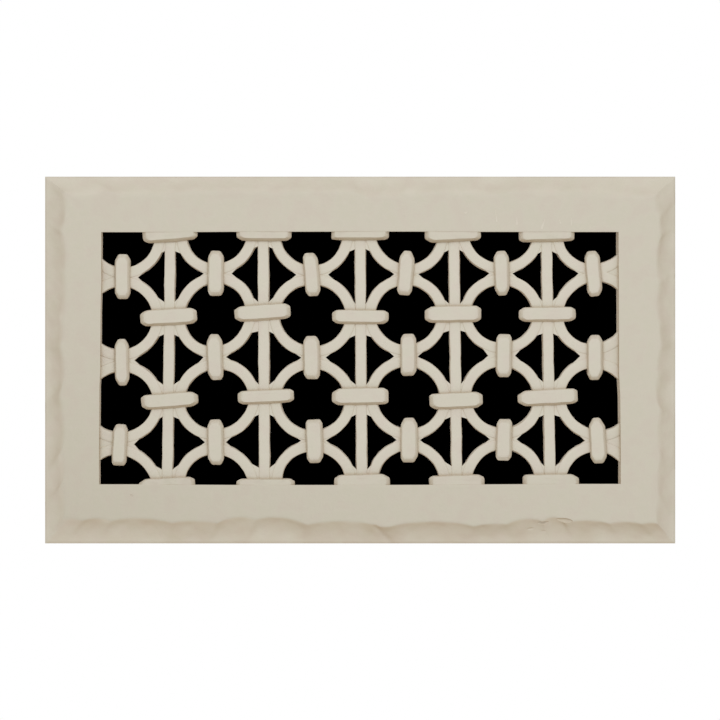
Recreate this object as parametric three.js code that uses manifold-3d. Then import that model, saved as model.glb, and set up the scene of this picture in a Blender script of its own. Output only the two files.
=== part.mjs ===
// A vent cover cast in one piece: a broad frame with a scooped outer edge holds a lattice of upright
// bars and touching rings. An upright collar ties each ring to the one below it, and a level collar
// ties each bar to the rings beside it. Millimetres, +X right, +Z up. The front faces -Y and the flat
// back lies in the plane y = 0, with the origin at the frame's middle, behind the middle bar.
import * as THREE from 'three';
import { ConvexGeometry } from 'three/addons/geometries/ConvexGeometry.js';
import { mergeVertices } from 'three/addons/utils/BufferGeometryUtils.js';
import Module from 'manifold-3d';

const wasm = await Module();
wasm.setup();

// Lattice
const ringColumns = 6;
const ringRows = 4; // the frame hides the upper half of the first row and the lower half of the last
const ringInnerRadius = 17.8;
const ringBand = 6.6;
const barWidth = 6.9;
// How far the rings of each column hang below their even places, as nothing was laid out with a rule
const ringDrops = [3, 1, 1, 0.4, 0, 0.8];
const latticeDraft = 0.3; // how much each wall leans in from the back to the front
const latticeEdge = 0.5; // bevel on the front edges
const ringOverRing = 0.5; // how far two rings run into each other
const ringOverBar = 0.15; // how far a ring runs into a bar
const latticeRoot = 5; // how far the lattice runs into the frame
const stubOverlap = 1; // how far the fills between the ring stubs at the sides run into the rings
const ringSides = 24;

// Collars
const collarReach = 6.4; // how far a collar's ends reach past the bands that it ties
const collarProud = 2.5; // how far a collar stands above the rings and bars
const collarBevel = 2; // depth of the bevels round its front
const collarDraft = 0.3;
const uprightCollar = { width: 9, cornerLength: 3.6, cornerWidth: 2, endBevel: 2.2, sideBevel: 1.5 };
const levelCollar = { width: 9, cornerLength: 3, cornerWidth: 2, endBevel: 2, sideBevel: 0.9 };
const levelUndercut = 0.7; // the lower bevel of a level collar is this much wider than the upper one
// Degrees, for each collar of each row from the top: plus where an upright one leans left at its top
const uprightLeans = [
  [0, 0, 5, -4.5, 2, 5],
  [1, 2.5, 1, 0, -1, 0],
  [-2.5, 1, 1.5, 0, -1.5, 3],
];
// Degrees, plus where the left end of a level collar dips
const levelTilts = [
  [5, 0, 0, 3, 1.5],
  [1.5, 4, 0, 1, 0],
  [2.5, 0, 1, 2.5, 2],
  [3, 0, 1.5, 2, 1],
];
// How far each level collar sits below the even places of the ring centres
const levelDrops = [
  [1.5, 1, 0.5, 1.5, 1.5],
  [1.5, -1, 1.5, 0, 0],
  [2, -0.5, -0.5, 2, 0],
  [3, 3.5, 1, 1.5, 1],
];

// Frame
const sideOpening = 12; // how far the opening runs past the centres of the outer ring columns
const topCover = 0.8; // how far the frame covers the first ring row below its centres
const bottomOpening = 2; // how far the opening runs below the centres of the last ring row
const rails = { top: 33.45, bottom: 34.75, left: 33.25, right: 33.25 };
const frameDepth = 12;
const collarSink = 1; // the collars' fronts lie this far below the frame's face
const rimDepth = 6; // height of the thin outer wall
const rimDraft = 0.3;
const scoops = { top: 10.5, bottom: 13.5, left: 11, right: 10 }; // width of the scooped edge on each side
const scoopPower = 1.4; // the scoop falls faster from the face than it runs out towards the rim
const scoopSteps = 3;
const openingDraft = 0.3;
const openingEdge = 0.5;
const waves = [
  { height: 0.8, length: 74, start: 0.4 },
  { height: 0.5, length: 43, start: 2.1 },
]; // the knife-cut border of the scoop wanders by these two waves
const waveFade = 0.12; // share of a side over which the waves die out at its corners
const waveStep = 20; // length of one facet along the border

const castResin = new THREE.MeshStandardMaterial({ color: 0xcbc4b1, roughness: 0.62, metalness: 0 });

const collarDepth = frameDepth - collarSink;
const latticeDepth = collarDepth - collarProud;
const ringOuterRadius = ringInnerRadius + ringBand;
const rowPitch = 2 * ringOuterRadius - ringOverRing;
const columnPitch = 2 * ringOuterRadius + barWidth - 2 * ringOverBar;
const openingWidth = (ringColumns - 1) * columnPitch + 2 * sideOpening;
const openingHeight = (ringRows - 1) * rowPitch + bottomOpening - topCover;
const frameWidth = openingWidth + rails.left + rails.right;
const frameHeight = openingHeight + rails.top + rails.bottom;
const openingTop = frameHeight / 2 - rails.top;
const openingLeft = rails.left - frameWidth / 2;
const latticeLeft = openingLeft + sideOpening; // centres of the first ring column

const columnX = (column) => latticeLeft + column * columnPitch;
const rowZ = (row) => openingTop + topCover - row * rowPitch;
const ringZ = (row, column) => rowZ(row) - pick(ringDrops, column);

// A list that is shorter than the pattern starts again from its first entry.
function pick(list, place) {
  return list[place % list.length];
}

function solidOf(geometry) {
  const bare = geometry.clone();
  bare.deleteAttribute('normal');
  bare.deleteAttribute('uv');
  const merged = mergeVertices(bare);
  return new wasm.Manifold(new wasm.Mesh({
    numProp: 3,
    vertProperties: new Float32Array(merged.attributes.position.array),
    triVerts: new Uint32Array(merged.index.array),
  }));
}

function block(width, depth, height, x, z) {
  return solidOf(new THREE.BoxGeometry(width, depth, height).translate(x, -depth / 2, z));
}

// The ring's section goes round from the inner back edge over the front to the outer back edge.
function ring() {
  const inner = ringInnerRadius;
  const outer = ringOuterRadius;
  const shoulder = latticeEdge - latticeDepth;
  const section = [
    [inner, 0],
    [outer, 0],
    [outer - latticeDraft, shoulder],
    [outer - latticeDraft - latticeEdge, -latticeDepth],
    [inner + latticeDraft + latticeEdge, -latticeDepth],
    [inner + latticeDraft, shoulder],
    [inner, 0],
  ];
  const points = section.map(([radius, y]) => new THREE.Vector2(radius, y));
  return new THREE.LatheGeometry(points.reverse(), ringSides);
}

function bar() {
  const half = barWidth / 2;
  const shoulder = latticeEdge - latticeDepth;
  const section = new THREE.Shape();
  section.moveTo(-half, 0);
  section.lineTo(-half + latticeDraft, shoulder);
  section.lineTo(-half + latticeDraft + latticeEdge, -latticeDepth);
  section.lineTo(half - latticeDraft - latticeEdge, -latticeDepth);
  section.lineTo(half - latticeDraft, shoulder);
  section.lineTo(half, 0);
  section.closePath();
  const length = openingHeight + 2 * latticeRoot;
  const middle = openingTop - openingHeight / 2;
  return new THREE.ExtrudeGeometry(section, { depth: length, bevelEnabled: false })
    .translate(0, 0, middle - length / 2);
}

// An octagon in the plane y: a box along Z with its four corners cut off.
function octagon(halfLength, halfWidth, cornerLength, cornerWidth, y, shift = 0) {
  const points = [];
  for (const along of [-1, 1]) {
    for (const across of [-1, 1]) {
      points.push(new THREE.Vector3(across * halfWidth + shift, y, along * (halfLength - cornerLength)));
      points.push(new THREE.Vector3(across * (halfWidth - cornerWidth) + shift, y, along * halfLength));
    }
  }
  return points;
}

// A collar ties bands that are tiedWidth across together. It stands upright, with straight walls up
// to the shoulder and bevels from there to a narrower flat front. With an undercut the bevel is wider
// on one side, and the face moves over by half of that.
function collar(size, tiedWidth, undercut = 0) {
  const length = tiedWidth / 2 + collarReach;
  const width = size.width / 2;
  const faceWidth = width - size.sideBevel - undercut / 2;
  const back = octagon(length, width, size.cornerLength, size.cornerWidth, 0);
  const shoulder = octagon(length - collarDraft, width - collarDraft,
    size.cornerLength, size.cornerWidth, collarBevel - collarDepth);
  const cornerShare = faceWidth / width;
  const front = octagon(length - size.endBevel, faceWidth,
    size.cornerLength * cornerShare, size.cornerWidth * cornerShare, -collarDepth, undercut / 2);
  return new ConvexGeometry([...back, ...shoulder, ...front]);
}

// Between two rings of an outer column the gap beside their collar is closed up to the frame.
function stubFill(side, z) {
  const reach = Math.min(sideOpening, ringOuterRadius);
  const gap = 2 * (ringOuterRadius - Math.sqrt(ringOuterRadius ** 2 - reach ** 2)) - ringOverRing;
  const width = sideOpening + latticeRoot;
  const outer = openingLeft + (side < 0 ? 0 : openingWidth);
  const x = outer + side * (latticeRoot - width / 2);
  return block(width, latticeDepth - latticeEdge, gap + 2 * stubOverlap, x, z);
}

function lattice() {
  const degree = Math.PI / 180;
  const oneRing = ring();
  const oneBar = bar();
  const upright = collar(uprightCollar, 2 * ringBand);
  const level = collar(levelCollar, barWidth + 2 * ringBand, levelUndercut).rotateY(-Math.PI / 2);
  const pieces = [];
  for (let column = 0; column < ringColumns; column += 1) {
    const x = columnX(column);
    for (let row = 0; row < ringRows; row += 1) {
      pieces.push(oneRing.clone().translate(x, 0, ringZ(row, column)));
    }
    for (let row = 0; row < ringRows - 1; row += 1) {
      const lean = pick(pick(uprightLeans, row), column) * degree;
      pieces.push(upright.clone().rotateY(-lean).translate(x, 0, ringZ(row + 0.5, column)));
    }
  }
  for (let column = 0; column < ringColumns - 1; column += 1) {
    const x = columnX(column + 0.5);
    pieces.push(oneBar.clone().translate(x, 0, 0));
    for (let row = 0; row < ringRows; row += 1) {
      const tilt = pick(pick(levelTilts, row), column) * degree;
      const z = rowZ(row) - pick(pick(levelDrops, row), column);
      pieces.push(level.clone().rotateY(-tilt).translate(x, 0, z));
    }
  }
  const fills = [];
  for (let row = 0; row < ringRows - 1; row += 1) {
    fills.push(stubFill(-1, ringZ(row + 0.5, 0)));
    fills.push(stubFill(1, ringZ(row + 0.5, ringColumns - 1)));
  }
  const whole = [...pieces.map(solidOf), ...fills].reduce((sum, piece) => sum.add(piece));
  const bounds = block(openingWidth + 2 * latticeRoot, collarDepth + 1,
    openingHeight + 2 * latticeRoot, openingLeft + openingWidth / 2, openingTop - openingHeight / 2);
  return whole.intersect(bounds);
}

// How far the border of the scoop wanders inwards, at a distance along a side.
function wander(distance, share) {
  const fade = Math.min(1, share / waveFade, (1 - share) / waveFade);
  return fade * waves.reduce((sum, { height, length, start }) =>
    sum + height * Math.sin(2 * Math.PI * distance / length + start), 0);
}

// The rail's section as seen on one side: distance in from the frame's outer edge, depth, and the
// share of the wander that the point takes.
function railSection(rail, scoop) {
  const points = [[0, 0, 0], [rimDraft, -rimDepth, 0]];
  for (let step = 1; step <= scoopSteps; step += 1) {
    const share = step / scoopSteps;
    const rise = (frameDepth - rimDepth) * share ** scoopPower;
    points.push([rimDraft + (scoop - rimDraft) * share, -rimDepth - rise, share]);
  }
  points.push([rail - openingDraft - openingEdge, -frameDepth, 0]);
  points.push([rail - openingDraft, -frameDepth + openingEdge, 0]);
  points.push([rail, 0, 0]);
  return points;
}

// The section runs round the four sides and is mitred at the corners.
function frame() {
  const halfWidth = frameWidth / 2;
  const halfHeight = frameHeight / 2;
  const sections = {};
  for (const side of Object.keys(rails)) {
    sections[side] = railSection(rails[side], scoops[side]);
  }
  const corners = [['left', 'bottom'], ['right', 'bottom'], ['right', 'top'], ['left', 'top']];
  const sides = [['bottom', 0, 1], ['right', -1, 0], ['top', 0, -1], ['left', 1, 0]]; // the way inwards
  const cornerPoints = corners.map(([upright, level]) => sections[upright].map(([inX, y], i) => {
    const inZ = sections[level][i][0];
    const x = upright === 'left' ? inX - halfWidth : halfWidth - inX;
    const z = level === 'bottom' ? inZ - halfHeight : halfHeight - inZ;
    return new THREE.Vector3(x, y, z);
  }));
  const positions = [];
  sides.forEach(([side, inX, inZ], i) => {
    const from = cornerPoints[i];
    const to = cornerPoints[(i + 1) % corners.length];
    const length = from[0].distanceTo(to[0]);
    const steps = Math.max(2, Math.round(length / waveStep));
    for (let step = 0; step < steps; step += 1) {
      const share = step / steps;
      const inwards = wander(length * (share + i), share);
      sections[side].forEach(([, , part], k) => {
        const point = from[k].clone().lerp(to[k], share);
        point.x += inX * inwards * part;
        point.z += inZ * inwards * part;
        positions.push(...point.toArray());
      });
    }
  });
  const around = cornerPoints[0].length;
  const stations = positions.length / 3 / around;
  const index = [];
  for (let station = 0; station < stations; station += 1) {
    for (let k = 0; k < around; k += 1) {
      const here = station * around;
      const next = ((station + 1) % stations) * around;
      const after = (k + 1) % around;
      index.push(here + k, next + k, next + after);
      index.push(here + k, next + after, here + after);
    }
  }
  const geometry = new THREE.BufferGeometry();
  geometry.setAttribute('position', new THREE.Float32BufferAttribute(positions, 3));
  geometry.setIndex(index);
  return geometry;
}

function geometryOf(solid) {
  const { vertProperties, triVerts } = solid.getMesh();
  const geometry = new THREE.BufferGeometry();
  geometry.setAttribute('position', new THREE.BufferAttribute(vertProperties, 3));
  geometry.setIndex(new THREE.BufferAttribute(triVerts, 1));
  geometry.computeVertexNormals();
  return geometry;
}

const ventCover = new THREE.Mesh(geometryOf(solidOf(frame()).add(lattice())), castResin);
ventCover.name = 'vent_cover';

const part = new THREE.Group();
part.add(ventCover);

export default part;
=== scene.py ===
# A vent cover cast in one piece of resin and painted bone: a broad frame with a gouged, scooped edge
# round a lattice of upright bars and touching rings, all tied by collars. Lengths are millimetres
# until a mesh is made. +X right, +Z up, the front faces -Y and the flat back lies at y = 0.
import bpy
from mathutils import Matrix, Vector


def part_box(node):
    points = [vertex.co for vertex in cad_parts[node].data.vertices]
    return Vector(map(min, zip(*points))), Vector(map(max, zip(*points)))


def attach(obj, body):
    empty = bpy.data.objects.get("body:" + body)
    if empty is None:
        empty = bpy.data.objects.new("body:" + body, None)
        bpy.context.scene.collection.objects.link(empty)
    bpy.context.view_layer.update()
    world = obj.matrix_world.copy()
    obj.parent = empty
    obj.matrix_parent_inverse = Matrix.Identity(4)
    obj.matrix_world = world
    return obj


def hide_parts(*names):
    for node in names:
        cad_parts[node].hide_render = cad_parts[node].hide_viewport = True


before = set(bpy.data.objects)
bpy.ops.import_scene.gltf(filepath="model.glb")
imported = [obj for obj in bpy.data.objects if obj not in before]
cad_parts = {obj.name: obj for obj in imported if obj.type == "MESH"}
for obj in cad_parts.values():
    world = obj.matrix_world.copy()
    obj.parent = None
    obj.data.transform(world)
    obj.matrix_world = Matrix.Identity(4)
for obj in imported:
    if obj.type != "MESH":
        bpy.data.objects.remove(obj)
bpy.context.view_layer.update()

import math

import bmesh
import bpy
import numpy as np
from mathutils import Vector

# The cover's box in mm, less what is sanded off its outline
sanded = {"left": 0.3, "right": 0.4, "top": 0.15, "bottom": 0.6}
low, high = (1000 * np.array(corner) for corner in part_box("vent_cover"))
low[[0, 2]] += (sanded["left"], sanded["bottom"])
high[[0, 2]] -= (sanded["right"], sanded["top"])
layout = {
    "openingLeft": -150.4,
    "openingRight": 149.1,
    "openingTop": 75.1,
    "openingBottom": -72.8,
    "columns": -138.5 + 55.4 * np.arange(6),  # even places of the ring centres, before the hand's drift
    "bars": -110.8 + 55.4 * np.arange(5),
    "rows": 74.5 - 48.3 * np.arange(4),
    "root": 5.0,  # how far the lattice runs into the frame
}


# Shells: closed surfaces on grids
def waver(points, wavelength, seed):
    # Twelve sine waves, each running its own way and 0.7 to 1.6 times this wavelength in mm, added up
    # to about -1..1
    draw = np.random.default_rng(seed)
    ways = draw.normal(size=(12, 3))
    ways /= np.linalg.norm(ways, axis=1, keepdims=True)
    ways *= 2 * np.pi / (wavelength * draw.uniform(0.7, 1.6, (12, 1)))
    return np.sin(points @ ways.T + draw.uniform(0, 2 * np.pi, 12)).sum(axis=-1) / 4.2


def waves(points, kinds, start=0.0):
    # A start + height * waver for each kind of wave
    return sum((height * waver(points, wavelength, seed) for height, wavelength, seed in kinds), start)


handWaves = {  # what the hand left along each axis: height and wavelength in mm, and the seed
    "x": [(0.13, 11, 3), (0.07, 4, 4)],
    "y": [(0.10, 13, 5), (0.05, 4.5, 6)],
    "z": [(0.13, 11, 7), (0.07, 4, 8)],
}


def handWorn(points, amount=1.0):
    # Point + small waves along x and z, and along y in proportion to the height over the back
    alongX, alongY, alongZ = (waves(points, handWaves[axis]) for axis in "xyz")
    alongY = alongY * (points[..., 1] / -band["depth"])
    return points + amount * np.stack([alongX, alongY, alongZ], axis=-1)


def shell(points, capped):
    # A grid that closes along its columns; its rows close too, or end in two flat caps
    rows, columns = points.shape[:2]
    here = np.arange(rows * columns).reshape(rows, columns)
    right = np.roll(here, -1, axis=1)
    if capped:
        quads = np.stack([here[:-1], right[:-1], right[1:], here[1:]], axis=-1)
        caps = [here[0].tolist(), here[-1].tolist()]
    else:
        quads = np.stack([here, right, np.roll(right, -1, axis=0), np.roll(here, -1, axis=0)], axis=-1)
        caps = []
    return points.reshape(-1, 3), quads.reshape(-1, 4).tolist() + caps


def meshObject(name, shells):
    # All the shells in one mesh, in metres, with every shell's faces pointing out
    points = np.concatenate([part[0] for part in shells]) / 1000
    starts = np.cumsum([0] + [len(part[0]) for part in shells])
    faces = [[start + corner for corner in face] for start, part in zip(starts, shells) for face in part[1]]
    mesh = bpy.data.meshes.new(name)
    mesh.from_pydata(points, [], faces)
    work = bmesh.new()
    work.from_mesh(mesh)
    bmesh.ops.recalc_face_normals(work, faces=work.faces)
    work.to_mesh(mesh)
    work.free()
    made = bpy.data.objects.new(name, mesh)
    bpy.context.scene.collection.objects.link(made)
    return made


# Rings and bars
band = {
    "depth": 8.5,
    "ringInner": 17.85,
    "ringOuter": 24.4,
    "barWidth": 6.75,
    "edge": 0.5,  # radius of the softened front edges
    "draft": 0.3,  # how far each wall leans in
    "crown": 0.05,
    "wallRows": (0, 0.45, 0.8),  # rows of points up a wall, as shares of it
    "edgeRows": (0, 25, 50, 72),  # rows round an edge, in degrees
    "frontRows": (-0.3, 0.3),  # rows over the front, in half widths
    "ringSteps": 104,
    "barStep": 1.5,
}
# Each ring as it was laid, one row of the lattice a line: how far it sits right and up of its even
# place, how much wider it is, and how far it is drawn out level and slantwise
ringsLaid = [
    [(0.9, -2.4, 0, -0.1, 0), (-0.1, 0, 0, -0.3, 0.5), (-0.8, -1.0, 0.2, -0.1, -0.2),
     (-0.9, -0.7, -0.1, 0, -0.5), (-1.5, -0.5, 0, 0.6, -0.2), (-2.0, -1.0, 0, 0.6, 0.5)],
    [(-0.7, -1.7, 0.3, 0, 0.2), (-1.3, 0.2, 0, -0.4, 0.6), (0, -0.1, 0.5, 0.6, -0.1),
     (-1.0, 0.2, -0.4, 0.2, 0), (-0.8, 0.8, -0.7, 0.5, -0.2), (-2.2, 1.5, 0.1, 0, 0.8)],
    [(-0.8, -2.2, 0.1, 0.5, 0.2), (-0.4, -0.5, 0, 0.5, 0.4), (0, -0.7, 0.2, 0.3, -0.1),
     (0.2, 0.3, 0.2, 0.1, -0.4), (-0.6, 0.5, -0.1, 0.1, -0.2), (-1.0, -0.5, 0.1, 0.2, -1.0)],
    [(-0.4, -2.7, 0.1, 0, -1.4), (-0.6, -2.3, 0.2, 0.1, -0.5), (0.6, -0.1, 0, 0.4, -0.2),
     (0.7, -0.5, 0.1, -0.3, -0.4), (0.2, 0.4, 0.1, 0, -0.1), (-1.0, -0.6, -0.1, 0, -0.1)],
]
# Each bar: how far right of its even place, and the degrees that its top leans left
barsLaid = [(-0.5, -0.7), (-0.6, 0.3), (0.4, 0.4), (-0.1, 0.7), (-1.5, 0.85)]


def bandSection(halfWidth):
    # Up the inner wall, a quarter circle, the barely crowned front, a quarter circle, down the outer wall
    depth, edge, draft, crown = (band[name] for name in ("depth", "edge", "draft", "crown"))
    wall = np.array(band["wallRows"])
    turn = np.radians(band["edgeRows"])
    arcAcross = draft + edge * (1 - np.cos(turn))
    arcDeep = (depth - edge) + (edge - crown) * np.sin(turn)
    across = np.concatenate([wall * draft, arcAcross]) - halfWidth
    deep = -np.concatenate([wall * (depth - edge), arcDeep])
    front = halfWidth * np.array(band["frontRows"])
    return (np.concatenate([across, front, -across[::-1]]),
            np.concatenate([deep, np.full(len(front), -depth), deep[::-1]]))


def ring(row, column):
    # Point = centre + radius along the angle, at the section's depth; the radius runs over the section
    # and takes the cosine and sine of twice the angle for the ring's oval
    right, up, wider, level, slant = ringsLaid[row][column]
    middle = (band["ringInner"] + band["ringOuter"]) / 2
    across, deep = bandSection((band["ringOuter"] - band["ringInner"]) / 2)
    angle = np.linspace(0, 2 * np.pi, band["ringSteps"], endpoint=False)[:, None]
    radius = middle + across + wider + level * np.cos(2 * angle) + slant * np.sin(2 * angle)
    x = layout["columns"][column] + right + radius * np.cos(angle)
    z = layout["rows"][row] + up + radius * np.sin(angle)
    return shell(handWorn(np.stack([x, np.broadcast_to(deep, x.shape), z], axis=-1)), capped=False)


def bar(column):
    # Point = (place + section across, section depth, height), swung by the bar's lean
    right, lean = barsLaid[column]
    across, deep = bandSection(band["barWidth"] / 2)
    top = layout["openingTop"] + layout["root"]
    bottom = layout["openingBottom"] - layout["root"]
    z = np.linspace(bottom, top, round((top - bottom) / band["barStep"]))[:, None]
    x = layout["bars"][column] + right - z * math.tan(math.radians(lean)) + across
    points = np.stack([x, np.broadcast_to(deep, x.shape), np.broadcast_to(z, x.shape)], axis=-1)
    return shell(handWorn(points), capped=True)


# Collars
collars = {
    "depth": 11.0,
    "depthAtFrame": 11.72,  # the top and bottom rows lie flush with the frame's face
    "frontMost": 11.84,
    "crown": 0.03,
    "worn": 0.8,  # share of the hand's waves
    "endBevel": 2.2,
    "endDrop": 1.5,
    "cornerShape": 0.55,  # width of a cut corner over its length
    "steps": (5, 6, 5, 14),  # along a cut corner, an end, a cut corner and a long side
    "faceOutlines": (0.85, 0.5),  # sizes of the outlines that fill the face
    # For the two long sides, left and right or above and below: the plan width of the bevel, how deep
    # it runs down to the straight wall, and how far that wall bows out halfway
    "upright": {"bevel": (0.9, 1.6), "drop": (0.9, 1.3), "bow": (0.1, 0.2)},
    "level": {"bevel": (0.5, 1.7), "drop": (0.6, 2.3), "bow": (0.1, 0.6)},
}
# Each upright collar as it was cut: right and up of its even place, degrees it leans left, the reach
# of its upper and lower end, half its width, its cut corners (upper left, upper right, lower right,
# lower left), and how far the gap between its rings is filled on its left and right
uprightsLaid = [
    [(0.4, -1.6, 0, 13.0, 13.0, 4.5, 3.6, 3.3, 3.1, 3.3, 9, 9),
     (-0.8, 0.3, 0, 13.1, 13.1, 4.6, 3.6, 3.4, 3.0, 2.3, 7, 9),
     (-0.5, -0.4, 5, 12.6, 12.5, 4.4, 2.5, 3.7, 3.0, 2.7, 9, 9.5),
     (-1.1, 0.4, -4.5, 13.0, 12.8, 4.4, 4.0, 4.3, 2.7, 2.8, 7, 7),
     (-0.8, 0.3, 2, 13.0, 12.9, 4.4, 3.4, 3.3, 3.8, 3.7, 7, 6.5),
     (-2.9, 0.1, 5, 13.2, 13.2, 4.4, 3.6, 3.4, 3.6, 3.0, 9.5, 9)],
    [(0, -3.1, 1, 13.5, 13.6, 4.1, 3.8, 3.7, 3.6, 4.0, 9, 8),
     (-1.3, -0.1, 2.5, 13.2, 13.3, 4.6, 4.2, 3.8, 2.8, 3.9, 7, 6),
     (-0.5, -0.3, 1, 12.5, 12.6, 4.8, 3.3, 3.4, 2.4, 3.1, 6.5, 7.5),
     (0.4, 1.2, 0, 12.2, 12.2, 4.6, 2.7, 3.0, 2.8, 2.2, 7.5, 6),
     (0.4, 0.7, -1, 12.5, 12.5, 4.6, 2.4, 2.2, 2.6, 3.4, 8, 7.5),
     (-2.0, -0.3, 0, 13.0, 13.1, 4.6, 3.8, 3.6, 4.3, 3.6, 9, 9)],
    [(-1.2, -2.8, -2.5, 11.9, 12.1, 4.3, 3.4, 2.9, 2.4, 1.6, 9, 7.5),
     (-0.9, -1.2, 1, 13.0, 13.3, 4.7, 3.6, 3.6, 3.3, 4.2, 6.5, 5.5),
     (1.2, -0.7, 1.5, 12.6, 12.7, 5.0, 1.8, 2.4, 3.7, 3.0, 7, 7.5),
     (0.8, 0, 0, 12.9, 13.1, 5.0, 4.0, 4.0, 3.7, 2.5, 7, 6.5),
     (0.5, 0.2, -1.5, 11.9, 12.2, 4.6, 3.0, 1.9, 2.7, 2.1, 7.5, 8),
     (-0.4, -0.2, 3, 13.1, 13.4, 4.7, 4.6, 5.1, 3.6, 3.6, 7, 9)],
]
# The level ones: right and up of their even place, degrees the left end dips, the reach of the left
# and right end, half the width, the corners (lower left, upper left, upper right, lower right), and
# how far the gaps beside the bar are filled above and below
levelsLaid = [
    [(-0.1, -1.0, 5, 15.6, 16.1, 4.7, 3.0, 3, 3, 2.5, 9, 10.8),
     (-0.6, -0.5, 0, 16, 16, 4.7, 3.3, 3, 3, 2.4, 9, 8.2),
     (0.1, 0, 0, 16.9, 16.6, 4.7, 0.9, 3, 3, 2.2, 9, 9.8),
     (-0.7, -1.0, 3, 17.1, 15.4, 4.7, 3.5, 3, 3, 2.2, 9, 10.2),
     (-1.7, -1.0, 1.5, 16.8, 15.3, 4.7, 1.9, 3, 3, 1.6, 9, 11)],
    [(-0.6, -1.2, 3.3, 16.5, 16.5, 4.8, 3.0, 3.9, 3.1, 3.0, 9.5, 11),
     (-0.9, 1.5, 4, 16.9, 15.8, 4.7, 3.3, 3.6, 3.0, 2.3, 9.5, 9.2),
     (0.2, -1.1, -0.5, 16.5, 16.3, 4.2, 2.8, 2.8, 2.7, 3.0, 8.2, 11.5),
     (-0.7, 0.5, 1, 17.1, 15.7, 4.9, 3.0, 3.9, 2.8, 2.8, 8.5, 8.8),
     (-1.6, 0.4, 0.5, 16.9, 15.9, 4.4, 2.8, 3.1, 2.7, 2.7, 10.2, 10.5)],
    [(-0.2, -1.5, 4.5, 16.3, 16.7, 4.5, 3.3, 2.4, 3.7, 3.1, 9.8, 10.5),
     (-0.1, 0.8, 2.6, 15.7, 16.9, 4.1, 2.4, 2.5, 2.2, 2.4, 9.7, 9.3),
     (0.1, 1.0, 1, 16.5, 16.3, 5.0, 3.1, 4.3, 3.1, 1.9, 9.6, 9.2),
     (-0.1, -1.5, 2.5, 15.0, 15.9, 4.8, 3.3, 1.9, 3.3, 3.3, 10.2, 10.7),
     (-1.6, 0.5, 2.9, 17.6, 17.2, 4.7, 3.9, 4.3, 2.5, 2.5, 11.5, 9.6)],
    [(-0.6, -2.5, 3, 17.5, 15.3, 4.7, 3, 4.3, 3.1, 3, 8.8, 9),
     (0, -3.0, 0, 16.6, 17.3, 4.7, 3, 2.7, 2.7, 3, 9.8, 9),
     (0.6, -0.5, 1.5, 15.8, 16.6, 4.7, 3, 3.4, 4.2, 3, 8.8, 9),
     (0.1, -1.0, 2, 15.4, 16.7, 4.7, 3, 2.2, 3.4, 3, 10.8, 9),
     (-0.9, -0.5, 1, 15.4, 17.3, 4.7, 3, 2.1, 4.3, 3, 10.7, 9)],
]


def walked(corners, softenings):
    # Values at the eight corners of a cut box, carried round it in a fixed number of steps on each
    # edge and softened by running means of three
    along = np.cumsum([0, *collars["steps"], *collars["steps"]])
    closed = np.vstack([corners, corners[:1]])
    walk = np.arange(along[-1])
    values = np.stack([np.interp(walk, along, closed[:, axis]) for axis in range(closed.shape[1])], axis=-1)
    for _ in range(softenings):
        values = (np.roll(values, 1, axis=0) + 2 * values + np.roll(values, -1, axis=0)) / 4
    return values


def cutBox(upper, lower, plus, minus, cuts):
    # A box along the first axis with its four corners cut off: upper plus, upper minus, lower minus
    # and lower plus
    a, b, c, d = cuts
    wide = collars["cornerShape"]
    return walked(np.array([
        (upper - a, plus), (upper, plus - wide * a), (upper, wide * b - minus), (upper - b, -minus),
        (c - lower, -minus), (-lower, wide * c - minus), (-lower, plus - wide * d), (d - lower, plus),
    ]), 1)


def collar(kind, x, z, turn, upper, lower, half, cuts, depth):
    # Outlines stacked from the back to the front: straight up to the shoulder, in over the bevel to the
    # narrower face, and across the face in ever smaller outlines. The walls draw in towards the ends by
    # the square of the way. Both creases are barely rounded.
    style, end, endDrop = collars[kind], collars["endBevel"], collars["endDrop"]
    (bevelPlus, bevelMinus), (dropPlus, dropMinus), bows = style["bevel"], style["drop"], style["bow"]
    back = cutBox(upper, lower, half, half, cuts)
    bow = np.where(back[:, 1] > 0, bows[0], -bows[1])
    back[:, 1] -= bow * (2 * back[:, 0] / (upper + lower)) ** 2
    narrower = 1 - (bevelPlus + bevelMinus) / 2 / half
    face = cutBox(upper - end, lower - end, half - bevelPlus, half - bevelMinus,
                  [narrower * size for size in cuts])
    drops = [dropPlus, endDrop, endDrop, dropMinus, dropMinus, endDrop, endDrop, dropPlus]
    drop = walked(np.array(drops)[:, None], 4)[:, 0]
    # Each outline's height, and its share of the way from the back's outline to the face's
    levels = [(0 * drop, 0), (0.5 * (depth - drop), 0.02), (depth - drop - 0.2, 0.04),
              (depth - drop, 0.07), (depth - 0.06 * drop, 0.94), (depth + 0 * drop, 1)]
    outlines = [back * (1 - share) + face * share for _, share in levels]
    deep = [-level for level, _ in levels]
    middle = face.mean(axis=0)
    for size in collars["faceOutlines"]:
        outlines.append(middle + (face - middle) * size)
        deep.append(np.full(len(face), -depth - collars["crown"]))
    plan, deep = np.stack(outlines), np.stack(deep)
    c, s = math.cos(turn), math.sin(turn)
    points = np.stack([
        x + plan[..., 0] * c - plan[..., 1] * s,
        deep,
        z + plan[..., 0] * s + plan[..., 1] * c,
    ], axis=-1)
    points = handWorn(points, collars["worn"])
    points[..., 1] = np.maximum(points[..., 1], -collars["frontMost"])
    return shell(points, capped=True)


def uprightCollar(row, column):
    # Halfway between two rows of rings, set on end
    right, up, lean, upper, lower, half, *rest = uprightsLaid[row][column]
    z = (layout["rows"][row] + layout["rows"][row + 1]) / 2 + up
    return collar("upright", layout["columns"][column] + right, z, math.radians(90 + lean),
                  upper, lower, half, rest[:4], collars["depth"])


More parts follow.
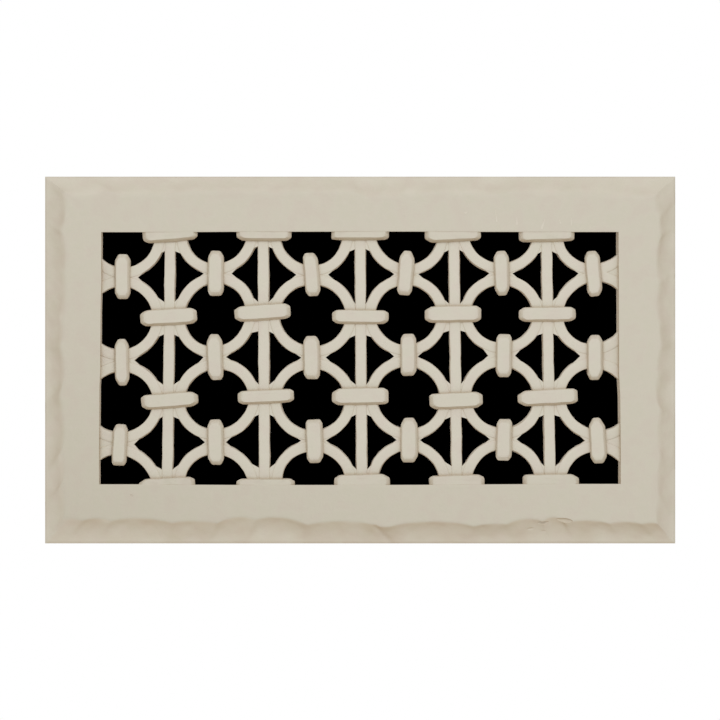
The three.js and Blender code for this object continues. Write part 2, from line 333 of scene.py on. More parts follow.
def levelCollar(row, column):
    # Across a bar, at the height of a row of rings
    right, up, dip, leftReach, rightReach, half, *rest = levelsLaid[row][column]
    lowerLeft, upperLeft, upperRight, lowerRight = rest[:4]
    depth = collars["depthAtFrame"] if row in (0, 3) else collars["depth"]
    return collar("level", layout["bars"][column] + right, layout["rows"][row] + up, math.radians(dip),
                  rightReach, leftReach, half, (upperRight, lowerRight, lowerLeft, upperLeft), depth)


# Webs that fill the sharp gaps between rings, between rings and bars, and beside the frame
web = {
    "depth": 8.15,
    "overlap": 0.5,  # how far a web runs into what it joins
    "least": 0.3,  # least width, where its two edges would meet
    "rows": (0, 0.6, 1),  # rows of points from the back to the front
    "notch": 4.0,  # how much further a web runs along the edges beside its pointed tip
    "notchAtBar": (2.95, 1.4),  # the same on the circle above and below a level collar
    "shorterAbove": 2.0,  # at the bar, above a level collar
    "steps": 13,
}


def ringEdge(row, column, angle):
    # Points of the ring's outer edge at these angles, drawn in by the overlap
    right, up, wider, level, slant = ringsLaid[row][column]
    radius = band["ringOuter"] + wider - web["overlap"]
    radius = radius + level * np.cos(2 * angle) + slant * np.sin(2 * angle)
    return (layout["columns"][column] + right + radius * np.cos(angle),
            layout["rows"][row] + up + radius * np.sin(angle))


def webShell(outline):
    # A prism on this outline of x and z
    x, z = np.array(outline).T
    levels = np.tile(web["depth"] * np.array(web["rows"])[:, None], len(x))
    return shell(handWorn(np.stack([np.tile(x, (3, 1)), -levels, np.tile(z, (3, 1))], axis=-1)), capped=True)


def webBetweenRings(row, column):
    # Between the foot of the upper circle and the top of the lower one, with a notch at either tip; at
    # the outer columns it runs on as far as the inside of the frame
    left, right = uprightsLaid[row][column][-2:]
    middle = layout["columns"][column] + (ringsLaid[row][column][0] + ringsLaid[row + 1][column][0]) / 2
    height = (layout["rows"][row] + ringsLaid[row][column][1]) / 2
    height += (layout["rows"][row + 1] + ringsLaid[row + 1][column][1]) / 2
    start, end = middle - left - web["notch"], middle + right + web["notch"]
    leftTip, rightTip = [(middle - left, height)], [(middle + right, height)]
    if column == 0:
        start, leftTip = layout["openingLeft"] - layout["root"], []
    if column == 5:
        end, rightTip = layout["openingRight"] + layout["root"], []
    across = np.linspace(start, end, web["steps"])
    edges = []
    for ringRow, way in ((row, -1), (row + 1, 1)):
        centre = layout["columns"][column] + ringsLaid[ringRow][column][0]
        turn = np.arcsin((across - centre) / (band["ringOuter"] - web["overlap"]))
        edges.append(ringEdge(ringRow, column, way * (np.pi / 2 - turn)))
    (upperX, upperZ), (lowerX, lowerZ) = edges
    upperZ = np.maximum(upperZ, lowerZ + web["least"])
    return webShell([*zip(upperX, upperZ), *rightTip, *zip(lowerX[::-1], lowerZ[::-1]), *leftTip])


def webBesideBar(row, column, side):
    # Between the bar's edge and the circle on its left (side -1) or right (side 1), longer on the
    # circle than on the bar
    right, lean = barsLaid[column]
    above, below = levelsLaid[row][column][-2:]
    above -= web["shorterAbove"]
    notchAbove, notchBelow = web["notchAtBar"]
    ringColumn = column + (side > 0)
    height = ringsLaid[row][ringColumn][1]
    rises = np.linspace(-below - notchBelow, above + notchAbove, web["steps"])
    turn = np.arcsin((rises - height) / (band["ringOuter"] - web["overlap"]))
    ringX, z = ringEdge(row, ringColumn, turn if side < 0 else np.pi - turn)
    edge = layout["bars"][column] + right + side * (band["barWidth"] / 2 - web["overlap"])
    slope = math.tan(math.radians(lean))
    out = np.maximum(side * (ringX - edge + z * slope), web["least"])
    barZ = layout["rows"][row] + np.array([above, 0, -below])
    return webShell([*zip(edge - z * slope + side * out, z), *zip(edge - barZ * slope, barZ)])


# Frame
rail = {
    "depth": 12.0,
    "rim": 6.0,
    "rimEdge": 0.5,
    "scoopStart": 0.3,  # how far in from the rim the scoop starts
    # The scoop rises as this power of the way from the rim to its border
    "steepness": {"left": 1.5, "right": 1.35, "top": 1.3, "bottom": 1.7},
    # The border between scoop and face is rounded over this height
    "softness": {"left": 1.4, "right": 1.3, "top": 2.2, "bottom": 0.7},
    # The least width between the strokes, as a share of the scoop's usual width
    "evenness": {"left": 0.8, "right": 0.8, "top": 0.85, "bottom": 0.7},
    "strokeBlend": 0.25,
    "strokeSpread": 0.3,  # how far the steepness changes from stroke to stroke, either way
    "openingEdge": 0.25,
    # How much narrower the rail is in front than at the back
    "openingDraft": {"left": 0.3, "right": 0.9, "top": -0.5, "bottom": -0.4},
    "step": 1.4,
    "corner": 11,  # the strokes start this far from the ends of a side
    "mitre": 0.03,  # share of a side over which it takes on its neighbour's depth
    "faceRows": 17,
    "faceSag": 0.06,
    "skin": 0.03,  # the face stays this far under the full depth
    # Waves: height and wavelength in mm, and the seed
    "scoopWaves": [(0.16, 15, 21), (0.08, 5, 22)],
    "faceWaves": [(0.05, 34, 23), (0.025, 7, 24)],
    # How the opening's edges wander, by place along the side: further in is more
    "sway": {
        "left": ([-72, -22, -10, 35, 59, 75], [-0.85, -0.65, -0.15, 0, 0.5, 0.4]),
        "right": ([-72, -30, -22, -12, 35, 75], [-1.15, -0.85, -0.55, -0.15, -0.1, 0.1]),
        "top": ([-125, -88, 30, 80, 125], [0.2, 0, -0.15, 0, 0.1]),
        "bottom": ([-150, -88, 0, 40, 75, 140], [0.5, 0.14, 0.1, 0.2, 0.43, 0.72]),
    },
}
# The gouge strokes that cut the scoop's border on each side: place along the side, the width of the
# scoop there, and how far along the stroke has drawn in by a millimetre
strokes = {
    "bottom": [(-170.8, 15.2, 9), (-153.4, 15.1, 7), (-129, 15.2, 12), (-96.6, 13.5, 12), (-69.6, 15.8, 7),
               (-49.9, 15.7, 9), (-11.5, 13.4, 13.5), (42, 13.2, 15), (78.7, 11.8, 12), (97.8, 14.8, 7),
               (111.8, 15.9, 3.8), (131, 13.8, 10), (153.7, 12.9, 9), (168.8, 12.3, 8)],
    "top": [(-162.7, 10.8, 9), (-133.6, 9.8, 13), (-116, 9.9, 8), (-104.5, 9.0, 9), (-84, 8.4, 12),
            (-61, 8.9, 11), (-49, 9.3, 9), (-29, 8.1, 11), (-11.5, 9.0, 10), (6, 11.4, 6), (18.8, 10.8, 6),
            (30.4, 9.8, 8), (42, 8.9, 9), (58.3, 9.3, 13), (75.7, 10.0, 11), (97.8, 8.2, 13),
            (110.6, 9.6, 9), (131, 9.2, 11), (139.7, 9.9, 8), (153.7, 11.2, 8), (165.9, 11.2, 9)],
    "left": [(93, 12.6, 12), (57, 12.2, 10.5), (38.3, 12.2, 12), (15, 10.5, 9), (-8.2, 11.2, 10),
             (-31.5, 10.4, 6), (-44.3, 11.3, 10), (-67.5, 11.2, 7), (-88.5, 11.7, 8)],
    "right": [(95.3, 12.0, 8), (80.2, 9.6, 12), (57, 11.2, 10), (32.5, 10.7, 12), (17.4, 9.6, 9),
              (-4.7, 10.7, 9), (-18, 11.6, 7), (-43, 10.4, 12), (-71, 10.5, 13), (-90.8, 11.3, 9)],
}
marks = [  # a groove and a nick in the scoops: two ends, half the width, depth
    ((8.9, -96.5), (19.5, -107.5), 0.9, 0.8),
    ((179.3, 48.2), (183.5, 48.2), 0.7, 0.5),
]
# Chips that the knife lifted: where, how long, how wide and how deep, and the degrees they turn
chips = [
    ((106.2, -10.7, -94.4), (3.6, 1.3, 0.9), 3),
    ((118.1, -11.75, -93.0), (5.4, 1.6, 1.1), -5),
    ((104.1, -8.15, -100.4), (3.9, 1.2, 0.85), 18),
    ((98.6, -8.8, -98.2), (2.6, 1.1, 0.8), 12),
    ((-132.8, -12.3, -78.5), (1.2, 0.9, 0.75), -30),
]
# Slight runs of paint on the face of the top rail: two ends and half the width
runs = [
    ((62.3, 86.2), (60.5, 85.4), 0.7),
    ((78.2, 88.0), (79.3, 80.2), 0.45),
    ((90.9, 83.2), (90.9, 78.6), 0.6),
    ((107.3, 82.4), (105.2, 76.2), 0.65),
    ((115.5, 82.0), (116.4, 79.2), 0.5),
    ((122.4, 83.4), (122.6, 78.0), 0.4),
]
# A run's outline from its upper end: share of the way down, share of half the width
spindle = [(0, 0.3), (0.5, 0.6), (0.85, 1), (1, 0.6), (1, -0.6), (0.85, -1), (0.5, -0.6), (0, -0.3)]
runDepths = (-11.2, 0.005 - rail["depth"])  # from inside the face to a hair over it


def scoopWidth(side, place):
    # The strokes' parabolas, blended where they cross by the mean of their exponentials, and each
    # stroke's share in the cut at that place
    centre, width, reach = np.array(strokes[side]).T
    least = rail["evenness"][side] * np.median(width)
    cuts = np.maximum(width - ((place[:, None] - centre) / reach) ** 2, least)
    weight = np.exp((cuts - cuts.max(axis=1, keepdims=True)) / rail["strokeBlend"])
    weight /= weight.sum(axis=1, keepdims=True)
    return (cuts * weight).sum(axis=1), weight


def railRows(side, width, depthRail, power):
    # For every station: how far in and how deep each row of the section lies. Up the rim, over the
    # scoop, across the face, round the edge and down the opening. The scoop is the rim + rise *
    # share^power, and a smooth minimum of that and the face rounds their border.
    count = len(width)
    rim, full, edge, begin = (rail[name] for name in ("rim", "depth", "openingEdge", "scoopStart"))
    soft, draft = rail["softness"][side], rail["openingDraft"][side]
    share = np.array([0.05, 0.12, 0.2, 0.3, 0.4, 0.5, 0.6, 0.69, 0.77, 0.84, 0.9, 0.95, 1, 1.04, 1.09, 1.15])
    scoop = rim + (full - rim) * share ** power[:, None]
    overlap = np.clip(soft - np.abs(scoop - full), 0, None) / soft
    scoop = np.minimum(scoop, full) - overlap ** 2 * soft / 4
    face = np.linspace(0.0, 1, rail["faceRows"] + 2)[1:-1] ** 1.1
    inside = (depthRail - draft - edge)[:, None]
    border = begin + (width[:, None] - begin) * share[-1]
    turn = np.radians([0, 30, 60, 90])
    inwards = np.concatenate([
        np.tile([0, 0.12, 0.22], (count, 1)),
        begin + (width[:, None] - begin) * share,
        border + (inside - border) * face,
        inside + edge * np.sin(turn),
        inside + edge + draft * np.array([0.5, 1]),
    ], axis=1)
    deep = np.concatenate([
        np.tile([0, -0.5 * rim, -rim + rail["rimEdge"]], (count, 1)),
        -scoop,
        np.full((count, len(face)), -full),
        np.tile(-full + edge * (1 - np.cos(turn)), (count, 1)),
        np.tile([-0.5 * full, 0], (count, 1)),
    ], axis=1)
    return inwards, deep


def frameShell():
    # The rows run round the four sides and meet on the mitres of the corners
    depths = {"bottom": layout["openingBottom"] - low[2], "right": high[0] - layout["openingRight"],
              "top": high[2] - layout["openingTop"], "left": layout["openingLeft"] - low[0]}
    order = ["bottom", "right", "top", "left"]
    spans = {"bottom": (low[0], high[0]), "right": (low[2], high[2]),
             "top": (high[0], low[0]), "left": (high[2], low[2])}
    draw = np.random.default_rng(11)
    rows = {}
    for side in order:
        start, end = spans[side]
        count = round(abs(end - start) / rail["step"])
        inset = rail["corner"] * np.sign(end - start)
        place = np.linspace(start + inset, end - inset, count + 1)
        width, weight = scoopWidth(side, place)
        spread = draw.uniform(-rail["strokeSpread"], rail["strokeSpread"], len(strokes[side]))
        power = rail["steepness"][side] + weight @ spread
        rows[side] = railRows(side, width, depths[side] + np.interp(place, *rail["sway"][side]), power)
    points = []
    for i, side in enumerate(order):
        before, after = rows[order[i - 1]], rows[order[(i + 1) % 4]]
        inwards, deep = rows[side]
        start, end = spans[side]
        way = np.sign(end - start)
        first, last = start + way * before[0][-1], end - way * after[0][0]
        share = np.linspace(0, 1, len(inwards))[:-1, None]
        along = first * (1 - share) + last * share
        blend = np.clip(1 - share / rail["mitre"], 0, 1)  # both sides of a mitre share one depth
        y = deep[:-1] * (1 - blend / 2) + before[1][-1] * blend / 2
        blend = np.clip(1 - (1 - share) / rail["mitre"], 0, 1)
        y = y * (1 - blend / 2) + after[1][0] * blend / 2
        across = inwards[:-1]
        x, z = {
            "bottom": (along, low[2] + across),
            "right": (high[0] - across, along),
            "top": (along, high[2] - across),
            "left": (low[0] + across, along),
        }[side]
        points.append(np.stack([x, y, z], axis=-1))
    return shell(relieved(np.concatenate(points)), capped=False)


def relieved(points):
    # Waves in the scoops, waves and a slight sag on the face, and each groove as a trough that falls
    # off as exp(-(distance / half width)^2); all of them fade out towards the rim and the back
    deep = points[..., 1]
    scooped = np.clip((deep + rail["depth"]) / 1.5, 0, 1)
    scooped *= np.clip((-deep - rail["rim"] + 0.4) / 1.5, 0, 1)
    deep += scooped * waves(points, rail["scoopWaves"])
    face = np.clip((-deep - 10.9) / 0.8, 0, 1)
    deep += face * waves(points, rail["faceWaves"], rail["faceSag"])
    lifted = np.clip(-deep / 4, 0, 1)
    for (x0, z0), (x1, z1), half, depth in marks:
        run = np.array([x1 - x0, z1 - z0])
        along = np.clip(((points[..., [0, 2]] - [x0, z0]) @ run) / (run @ run), 0, 1)
        off = np.hypot(points[..., 0] - x0 - along * run[0], points[..., 2] - z0 - along * run[1])
        deep += lifted * depth * np.exp(-(off / half) ** 2)
    points[..., 1] = np.clip(deep, rail["skin"] - rail["depth"], 0)
    return points


def chipShell(centre, reach, degrees):
    # Ellipsoid: reach times the cosine of the height and the cosine or sine round it
    around = np.linspace(0, 2 * np.pi, 28, endpoint=False)
    height = np.radians(np.linspace(-84, 84, 11))[:, None]
    along, across = reach[0] * np.cos(height) * np.cos(around), reach[1] * np.cos(height) * np.sin(around)
    c, s = math.cos(math.radians(degrees)), math.sin(math.radians(degrees))
    y = np.broadcast_to(centre[1] + reach[2] * np.sin(height), along.shape)
    x, z = centre[0] + along * c - across * s, centre[2] + along * s + across * c
    return shell(np.stack([x, y, z], axis=-1), capped=True)


def runShell(start, end, half):
    # A spindle that lies on the face and widens to the lower end: start + the way down * share, and
    # half the width * share aside
    start, end = np.array(start), np.array(end)
    way = (end - start) / np.hypot(*(end - start))
    aside = half * np.array([-way[1], way[0]])
    outline = [start + (end - start) * share + aside * width for share, width in spindle]
    return shell(np.array([[(x, y, z) for x, z in outline] for y in runDepths]), capped=True)


# One casting
def joined(whole, part, operation):
    # The part cut into or added to the whole, as one watertight skin
    step = whole.modifiers.new(operation, "BOOLEAN")
    step.operation = operation
    step.solver = "MANIFOLD"
    step.object = part
    result = bpy.data.meshes.new_from_object(whole.evaluated_get(bpy.context.evaluated_depsgraph_get()))
    whole.modifiers.clear()
    spare = whole.data
    whole.data = result
    bpy.data.meshes.remove(spare)
    bpy.data.objects.remove(part)
    return whole


def cleaned(made):
    # What the cuts left behind: a loose flap without thickness, of which validate leaves one face, and
    # slivers under two microns
    made.data.validate()
    work = bmesh.new()
    work.from_mesh(made.data)
    flaps = {face for edge in work.edges if edge.is_boundary for face in edge.link_faces}
    bmesh.ops.delete(work, geom=list(flaps), context="FACES")
    bmesh.ops.dissolve_degenerate(work, dist=2e-6, edges=work.edges)
    openEdges = sum(not edge.is_manifold for edge in work.edges)
    work.to_mesh(made.data)
    work.free()
    print("open edges:", openEdges)


def boxShell(x0, x1, y0, y1, z0, z1):
    # A box between these three pairs of coordinates
    corners = np.array([[(x0, y, z0), (x1, y, z0), (x1, y, z1), (x0, y, z1)] for y in (y0, y1)], dtype=float)
    return shell(corners, capped=True)


cover = meshObject("ventCover", [ring(row, column) for row in (0, 2) for column in range(6)])
otherRings = meshObject("otherRings", [ring(row, column) for row in (1, 3) for column in range(6)])
cover = joined(cover, otherRings, "UNION")
root = layout["root"]
cover = joined(cover, meshObject("openingBlock", [boxShell(
    layout["openingLeft"] - root, layout["openingRight"] + root, -20, 1,
    layout["openingBottom"] - root, layout["openingTop"] + root)]), "INTERSECT")
print("rings:", len(cover.data.vertices), "points")
cover = joined(cover, meshObject("bars", [bar(column) for column in range(5)]), "UNION")
betweenRings = [webBetweenRings(row, column) for row in range(3) for column in range(6)]
leftOfBars = [webBesideBar(row, column, -1) for row in range(4) for column in range(5)]
rightOfBars = [webBesideBar(row, column, 1) for row in range(4) for column in range(5)]
for name, webs in (("ringWebs", betweenRings), ("leftWebs", leftOfBars), ("rightWebs", rightOfBars)):
    cover = joined(cover, meshObject(name, webs), "UNION")
uprights = [uprightCollar(row, column) for row in range(3) for column in range(6)]
levels = [levelCollar(row, column) for row in range(4) for column in range(5)]
cover = joined(cover, meshObject("collars", uprights + levels), "UNION")
print("lattice:", len(cover.data.vertices), "points")
cover = joined(cover, meshObject("frameBand", [frameShell()]), "UNION")
cover = joined(cover, meshObject("chips", [chipShell(*chip) for chip in chips]), "DIFFERENCE")
cover = joined(cover, meshObject("runs", [runShell(*run) for run in runs]), "UNION")
cleaned(cover)
cover.data.shade_smooth()
cover.data.set_sharp_from_angle(angle=math.radians(38))
triangles = sum(len(face.vertices) - 2 for face in cover.data.polygons)
print("casting:", len(cover.data.vertices), "points,", triangles, "triangles")


# Paint
def linear(code):
    # sRGB hex to linear: ((c + 0.055) / 1.055)^2.4, or c / 12.92 near black
    values = [int(code[i:i + 2], 16) / 255 for i in (1, 3, 5)]
    return (*[c / 12.92 if c <= 0.04045 else ((c + 0.055) / 1.055) ** 2.4 for c in values], 1)


def node(tree, kind, settings=None, links=None):
    # One node: settings go to its properties or, where it has none of that name, to an input's value;
    # inputs without a name of their own go by number
    made = tree.nodes.new(kind)
    for name, value in (settings or {}).items():
        if isinstance(name, str) and hasattr(made, name):
            setattr(made, name, value)
        else:
            made.inputs[name].default_value = value
    for name, source in (links or {}).items():
        tree.links.new(source, made.inputs[name])
    return made


paint = {
    "bone": "#d3cdbf",
    "bonePink": "#d2cabd",
    "boneGreen": "#d2cdbe",
    "filmAndShade": "#938a70",  # thin grey film over the faces, which also carries painted shade darker towards the lower left
    "filmAndShadeOnFrame": (0.145, 0.18),  # a least amount of film, and how much painted shade more in the lower left corner
    "shadeLean": (0.45, 0.55),  # how much going left and going down count in that painted shade
    # Painted shade on the lattice: film times lean^2, darker towards the lower left
    "shadeOnLattice": 0.1,
    "filmOnCollars": 0.05,
    "filmOnRuns": 0.0,
    "filmOnBack": 0.2,
    "filmOnHighlitEdges": 0.7,  # share of film left on the opening's rounded edge and the flush collars' faces: a painted highlight
    # In the scoops: grey film and brown wash for each side, partly painted shade, most on the bottom scoop
    # that faces down
    "filmAndShadeInScoops": {"left": 0.13, "right": 0.13, "top": 0.08, "bottom": 0.02},
    "washAndShadeBrown": "#a98c62",  # brown of a wash in the hollows and on the steep sides, which also paints their shade
    "washAndShadeInScoops": {"left": 0.07, "right": 0.04, "top": 0.03, "bottom": 0.22},
    "scoopWashAndShadeShare": (0.75, 0.7, 1.2),  # least, how much more at the border as painted shade, mm until that falls to a third
    "scoopPatches": (0.25, 12, 31),  # height, wavelength in mm and seed
    # Wash and painted shade where the ambient occlusion finds hollows and creases
    "washAndShadeInHollows": 0.6,
    "washAndShadeOnSides": 0.78,  # wash and painted shade on sides that face down, where light from above falls least; on others less
    "washAndShadeUpwards": 0.35,  # share of it on sides that face up
    "roughness": (0.55, 0.7),
    "cloudLength": 0.009,  # metres
    "speckLength": 0.0045,
    "brushLength": 0.0016,
}
zones = {  # what tells the casting's parts from each other, in mm
    "outside": (160, 83),  # across and up from the middle: the frame clear of its opening
    "lattice": 11.5,  # inside that, less deep than this
    "collarFaces": 9,
    "highlitEdge": (11.74, 0.085),  # depth, and how far off it
    "scooped": (0.2, 0.6),  # below the face: where the scoop's paint begins, and where it is full
    "runs": 0.02,
    "back": 0.1,
}


def leaveWashAndShade(made):
    # Film, wash and painted shade left on each point. Film on the face = least + more * lean^3, where lean
    # runs from the upper right to the lower left corner, so the more is painted shade darker towards the
    # lower left. In the scoops film and wash each have their own amount for each side, times least + more *
    # exp(-depth under the face / fall), in patches: partly a wash, partly painted shade at the scoops' steep
    # border and on the bottom scoop.
    mesh = made.data
    points = np.empty(3 * len(mesh.vertices))
    mesh.vertices.foreach_get("co", points)
    points = 1000 * points.reshape(-1, 3)
    x, y, z = points.T
    leftwards, downwards = paint["shadeLean"]
    lean = (1 - leftwards * x / high[0] - downwards * z / high[2]) / 2
    least, more = paint["filmAndShadeOnFrame"]
    # Painted shade, darker towards the lower left corner, over a least film
    filmAndShade = least + more * lean ** 3
    outside = np.maximum(np.abs(x) - zones["outside"][0], np.abs(z) - zones["outside"][1]) > 0
    lattice = ~outside & (y > -zones["lattice"])
    onCollars = paint["filmOnCollars"] * (y < -zones["collarFaces"])
    filmAndShade[lattice] = (paint["shadeOnLattice"] * lean ** 2 + onCollars)[lattice]
    # Painted highlight: less film on the opening's rounded front edge and on the flush collars
    edgeDepth, edgeReach = zones["highlitEdge"]
    filmAndShade[~outside & (np.abs(y + edgeDepth) < edgeReach)] *= paint["filmOnHighlitEdges"]
    nearest = np.argmin(np.stack([x - low[0], high[0] - x, high[2] - z, z - low[2]]), axis=0)
    below = rail["depth"] + y
    begins, full = zones["scooped"]
    scooped = outside * np.clip((below - begins) / (full - begins), 0, 1)
    # Painted shade, heaviest at the scoops' steep border and falling off towards the rim
    least, more, fall = paint["scoopWashAndShadeShare"]
    share = (least + more * np.exp(-below / fall)) * waves(points, [paint["scoopPatches"]], 1.0)
    amounts = {}
    for name in ("filmAndShadeInScoops", "washAndShadeInScoops"):
        sides = np.array([paint[name][side] for side in ("left", "right", "top", "bottom")])
        amounts[name] = sides[nearest] * share * scooped
    filmAndShade = filmAndShade * (1 - scooped) + amounts["filmAndShadeInScoops"]
    filmAndShade[below < zones["runs"]] = paint["filmOnRuns"]
    back = y > -zones["back"]
    filmAndShade[back] = paint["filmOnBack"]
    amounts["washAndShadeInScoops"][back] = 0
    for name, values in (("filmAndShade", filmAndShade), ("scoopWashAndShade", amounts["washAndShadeInScoops"])):
        left = mesh.attributes.new(name, "FLOAT", "POINT")
        left.data.foreach_set("value", np.clip(values, 0, 1))


def bonePaintedResin():
    # Matte bone paint over cast resin, with a thin brown wash wiped off again: the eye sees a dull skin with
    # faint clouds and a grey film with painted shade darker towards the lower left, and brown in the hollows
    # and on the steep sides, partly wash and partly painted shade that is heaviest on sides facing down
    material = bpy.data.materials.new("bonePaintedResin")
    material.use_nodes = True
    tree = material.node_tree
    tree.nodes.clear()
    place = node(tree, "ShaderNodeTexCoord")
    at = {"Vector": place.outputs["Object"]}
    clouds = node(tree, "ShaderNodeTexNoise", {"Scale": 1 / paint["cloudLength"], "Detail": 4.0}, at)
    specks = node(tree, "ShaderNodeTexNoise", {"Scale": 1 / paint["speckLength"], "Detail": 3.0}, at)
    brush = node(tree, "ShaderNodeTexNoise", {"Scale": 1 / paint["brushLength"], "Detail": 2.0}, at)
    tint = node(tree, "ShaderNodeValToRGB", {}, {"Fac": clouds.outputs["Fac"]})
    ramp = tint.color_ramp
    ramp.elements[0].position, ramp.elements[0].color = 0.36, linear(paint["bonePink"])
    ramp.elements[1].position, ramp.elements[1].color = 0.64, linear(paint["boneGreen"])
    middle = ramp.elements.new(0.5)
    middle.color = linear(paint["bone"])

    # How much brown goes on: the most of the wash and painted shade in hollows and on steep sides, plus the
    # wash and painted shade in the scoops
    # Painted shade in hollows and creases where the ambient occlusion is low, partly a brown wash that
    # stayed there
    hollow = node(tree, "ShaderNodeAmbientOcclusion", {"Distance": 0.0025, "samples": 8})
    hollowWashAndShade = node(tree, "ShaderNodeMapRange", {
        "From Min": 0.3, "From Max": 0.85, "To Min": paint["washAndShadeInHollows"], "To Max": 0.0,
    }, {"Value": hollow.outputs["AO"]})
    # Painted shade on steep sides, most on those that face down, partly a brown wash
    facing = node(tree, "ShaderNodeSeparateXYZ", {}, {"Vector": place.outputs["Normal"]})
    forward = node(tree, "ShaderNodeMath", {"operation": "ABSOLUTE"}, {0: facing.outputs["Y"]})
    sideWashAndShade = node(tree, "ShaderNodeMapRange", {
        "From Min": 0.2, "From Max": 0.985, "To Min": paint["washAndShadeOnSides"], "To Max": 0.0,
    }, {"Value": forward.outputs[0]})
    downwards = node(tree, "ShaderNodeMapRange", {
        "From Min": -0.5, "From Max": 0.6, "To Min": 1.0, "To Max": paint["washAndShadeUpwards"],
    }, {"Value": facing.outputs["Z"]})
    lowSideWashAndShade = node(tree, "ShaderNodeMath", {"operation": "MULTIPLY"},
                     {0: sideWashAndShade.outputs["Result"], 1: downwards.outputs["Result"]})
    hollowAndSideWashShade = node(tree, "ShaderNodeMath", {"operation": "MAXIMUM"},
                 {0: hollowWashAndShade.outputs["Result"], 1: lowSideWashAndShade.outputs[0]})
    # Wash and painted shade in the scoops, from the point attribute
    scoopWashAndShade = node(tree, "ShaderNodeAttribute", {"attribute_name": "scoopWashAndShade"})
    washAndShadeShare = node(tree, "ShaderNodeMath", {"operation": "ADD", "use_clamp": True},
                  {0: hollowAndSideWashShade.outputs[0], 1: scoopWashAndShade.outputs["Fac"]})

    # Bone, then the film with its painted shade, then the wash with its painted shade; a colour mix takes
    # its share at input 0, its colours at 6 and 7, and gives its colour at output 2
    # Film with its painted shade, darker towards the lower left
    filmAndShade = node(tree, "ShaderNodeAttribute", {"attribute_name": "filmAndShade"})
    filmedAndShaded = node(tree, "ShaderNodeMix", {"data_type": "RGBA", 7: linear(paint["filmAndShade"])},
                  {0: filmAndShade.outputs["Fac"], 6: tint.outputs["Color"]})
    skin = node(tree, "ShaderNodeMix", {"data_type": "RGBA", 7: linear(paint["washAndShadeBrown"])},
                {0: washAndShadeShare.outputs[0], 6: filmedAndShaded.outputs[2]})
    smoother, duller = paint["roughness"]
    gloss = node(tree, "ShaderNodeMapRange", {
        "From Min": 0.3, "From Max": 0.7, "To Min": smoother, "To Max": duller,
    }, {"Value": specks.outputs["Fac"]})
    grain = node(tree, "ShaderNodeBump", {"Strength": 0.3, "Distance": 0.00025},
                 {"Height": brush.outputs["Fac"]})
    lumps = node(tree, "ShaderNodeBump", {"Strength": 0.4, "Distance": 0.0005},
                 {"Height": specks.outputs["Fac"], "Normal": grain.outputs["Normal"]})
    shader = node(tree, "ShaderNodeBsdfPrincipled", {"IOR": 1.48, "Metallic": 0.0}, {
        "Base Color": skin.outputs[2],
        "Roughness": gloss.outputs["Result"],
        "Normal": lumps.outputs["Normal"],
    })
    node(tree, "ShaderNodeOutputMaterial", {}, {"Surface": shader.outputs["BSDF"]})
    return material


cover.data.materials.clear()
cover.data.materials.append(bonePaintedResin())
leaveWashAndShade(cover)
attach(cover, "root")
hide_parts("vent_cover")
print("paint: on")


# Studio
studio = {
    "floor": "#f2f1ee",
    "floorHeight": -0.35,
    "floorReach": (0.95, 1.0, 0.9),  # to either side, to the front and to the back
    "lensMillimetres": 300,
    "sensorMillimetres": 36,
    "viewWidth": 0.4183,  # metres across the picture at the front of the rings
    "eye": (-0.00015, 0.00023),  # how far the camera stands right and up of the cover's middle
    "keyPlace": (0.05, -1.6, 0.85),
    "keySize": 1.1,
    "keyWatts": 10,
    "ambient": 0.7,
    "shadeCard": (0.385, 4.3, 0.208),  # half width, distance behind the cover, half height of the black card that paints the shade in the openings
}


def plainMaterial(name, code):
    # Matte paper of one colour, for the stage
    material = bpy.data.materials.new(name)
    material.use_nodes = True
    shader = material.node_tree.nodes["Principled BSDF"]
    shader.inputs["Base Color"].default_value = linear(code)
    shader.inputs["Roughness"].default_value = 1.0
    shader.inputs["Specular IOR Level"].default_value = 0.0
    return material


def sheet(name, corners, material):
    # One flat face of the stage
    mesh = bpy.data.meshes.new(name)
    mesh.from_pydata(corners, [], [(0, 1, 2, 3)])
    mesh.materials.append(material)
    made = bpy.data.objects.new(name, mesh)
    bpy.context.scene.collection.objects.link(made)
    return made


floorZ = studio["floorHeight"]
aside, ahead, back = studio["floorReach"]
floorCorners = [(-aside, -ahead, floorZ), (aside, -ahead, floorZ),
                (aside, back, floorZ), (-aside, back, floorZ)]
sheet("paleFloor", floorCorners, plainMaterial("paleFloorPaper", studio["floor"]))
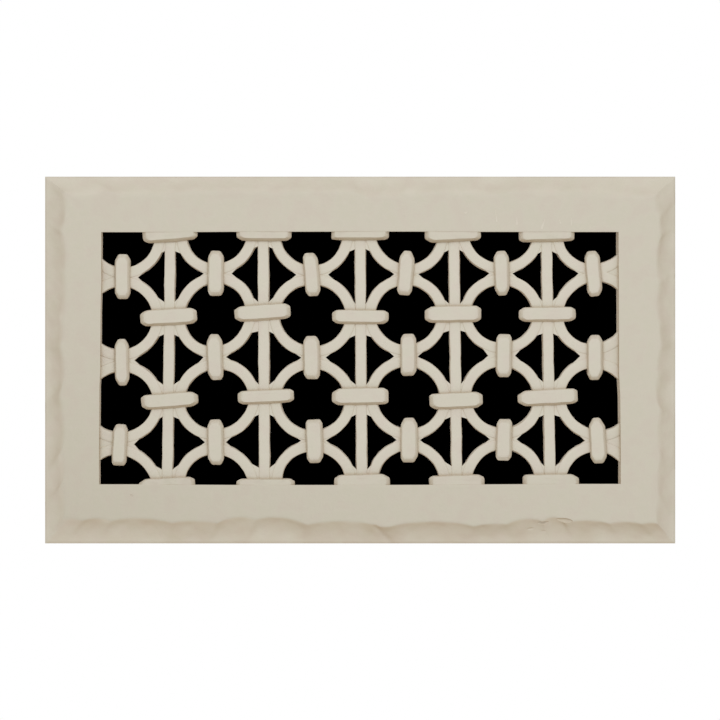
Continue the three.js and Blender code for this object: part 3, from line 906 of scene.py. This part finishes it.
# Painted shade: a black card far behind the cover fills its openings in the main view with the dark behind
# them, hidden by the frame's outline and unseen by diffuse, glossy, shadow and transmission rays
halfWidth, behind, halfHeight = studio["shadeCard"]
cardCorners = [(-halfWidth, behind, -halfHeight), (halfWidth, behind, -halfHeight),
               (halfWidth, behind, halfHeight), (-halfWidth, behind, halfHeight)]
shadeCard = sheet("paintedShadeCard", cardCorners, plainMaterial("paintedShadePaper", "#000000"))
shadeCard.visible_diffuse = shadeCard.visible_glossy = shadeCard.visible_shadow = shadeCard.visible_transmission = False


def areaLight(name, place, target, size, watts):
    # A square soft light that faces its target
    data = bpy.data.lights.new(name, "AREA")
    data.shape = "SQUARE"
    data.size = size
    data.energy = watts
    made = bpy.data.objects.new(name, data)
    made.location = place
    made.rotation_euler = (Vector(target) - Vector(place)).to_track_quat("-Z", "Y").to_euler()
    made.visible_camera = False
    bpy.context.scene.collection.objects.link(made)


areaLight("keyLight", studio["keyPlace"], (0, 0, 0), studio["keySize"], studio["keyWatts"])

world = bpy.data.worlds.new("whiteRoom")
world.use_nodes = True
bpy.context.scene.world = world
tree = world.node_tree
tree.nodes.clear()
room = node(tree, "ShaderNodeBackground", {"Color": (1, 0.99, 0.97, 1), "Strength": studio["ambient"]})
backdrop = node(tree, "ShaderNodeBackground", {"Color": (1, 1, 1, 1), "Strength": 1.0})
seen = node(tree, "ShaderNodeLightPath").outputs["Is Camera Ray"]
both = node(tree, "ShaderNodeMixShader", {}, {0: seen, 1: room.outputs[0], 2: backdrop.outputs[0]})
node(tree, "ShaderNodeOutputWorld", {}, {"Surface": both.outputs[0]})
bpy.context.scene.view_settings.view_transform = "Standard"

cameraData = bpy.data.cameras.new("camera")
cameraData.lens = studio["lensMillimetres"]
cameraData.sensor_width = studio["sensorMillimetres"]
camera = bpy.data.objects.new("camera", cameraData)
distance = studio["viewWidth"] * studio["lensMillimetres"] / studio["sensorMillimetres"]
eyeRight, eyeUp = studio["eye"]
camera.location = (eyeRight, -band["depth"] / 1000 - distance, eyeUp)
camera.rotation_euler = (math.pi / 2, 0, 0)
bpy.context.scene.collection.objects.link(camera)
bpy.context.scene.camera = camera
print("studio: set")
